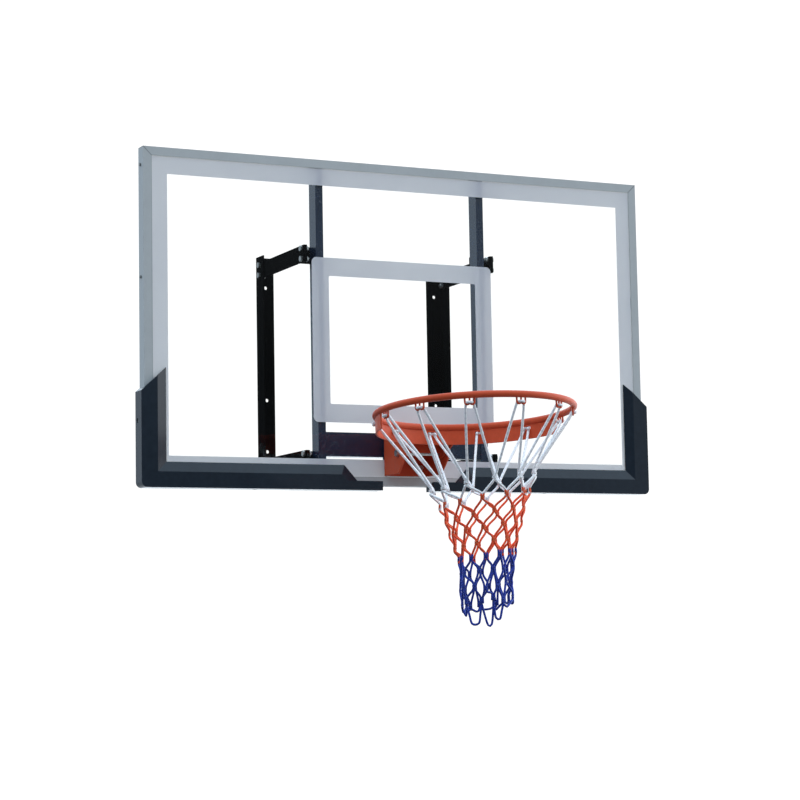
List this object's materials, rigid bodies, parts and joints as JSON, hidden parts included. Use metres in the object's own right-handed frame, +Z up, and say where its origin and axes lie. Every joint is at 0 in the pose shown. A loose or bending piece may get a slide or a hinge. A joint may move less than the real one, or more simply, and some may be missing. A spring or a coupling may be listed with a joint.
{
  "type": "basketball backboard",
  "caption": "Clear framed backboard on a wall bracket, with corner pads and a ring and net on a sprung hinge.",
  "frame": {"origin": "middle of the wall screw pattern, on the wall plane", "axes": "+X to the right as a player sees it, +Y into the wall, +Z up"},
  "size_m": [1.394, 0.9383, 1.1685],
  "materials": {
    "clear_panel": "clear, polished",
    "frame_paint": "satin powder coat, grey",
    "tube_paint": "satin powder coat, dark blue-grey",
    "mount_paint": "satin powder coat, black",
    "rim_paint": "satin powder coat, orange-red",
    "pad_plastic": "moulded, fine grain",
    "black_plastic": "moulded",
    "zinc_steel": "bright zinc plate",
    "spring_steel": "oiled spring steel",
    "net_cord": "braided cord in white, red and blue bands"
  },
  "bodies": {
    "board": {"board_panel": "clear_panel", "top_frame_rail": "frame_paint", "bottom_frame_rail": "frame_paint", "left_frame_rail": "frame_paint", "right_frame_rail": "frame_paint", "left_corner_bracket": "zinc_steel", "right_corner_bracket": "zinc_steel", "left_panel_clip": "black_plastic", "right_panel_clip": "black_plastic", "frame_screws": "zinc_steel", "left_upright_tube": "tube_paint", "right_upright_tube": "tube_paint", "cross_member": "tube_paint", "rim_backing_plate": "tube_paint", "left_corner_pad": "pad_plastic", "right_corner_pad": "pad_plastic", "pad_screws": "zinc_steel", "left_wall_rail": "mount_paint", "right_wall_rail": "mount_paint", "left_upper_arm": "mount_paint", "right_upper_arm": "mount_paint", "left_lower_arm": "mount_paint", "right_lower_arm": "mount_paint", "left_upper_tube_bracket": "mount_paint", "right_upper_tube_bracket": "mount_paint", "left_lower_tube_bracket": "mount_paint", "right_lower_tube_bracket": "mount_paint", "arm_bolts": "zinc_steel", "arm_nuts": "zinc_steel", "tube_bolts": "zinc_steel", "tube_weld_nuts": "zinc_steel", "rim_plate": "rim_paint", "left_rim_cheek": "rim_paint", "right_rim_cheek": "rim_paint", "spring_shelf": "rim_paint", "rim_stop": "rim_paint", "hinge_pin": "zinc_steel", "hinge_nut": "zinc_steel", "rim_bolts": "zinc_steel", "rim_nuts": "zinc_steel", "left_spring": "spring_steel", "right_spring": "spring_steel"},
    "rim": {"rim_carrier": "rim_paint", "rim_ring": "rim_paint", "rim_band": "rim_paint", "net_hooks": "rim_paint", "net": "net_cord"}
  },
  "joints": [
    {"name": "rim_hinge", "type": "hinge", "parent": "board", "child": "rim", "pos_m": [0, -0.4004, -0.246], "axis": [1, 0, 0], "range_deg": [0, 28], "stiffness_Nm_per_rad": 250, "springref_deg": -45.84, "deforming": ["left_spring", "right_spring"]}
  ]
}
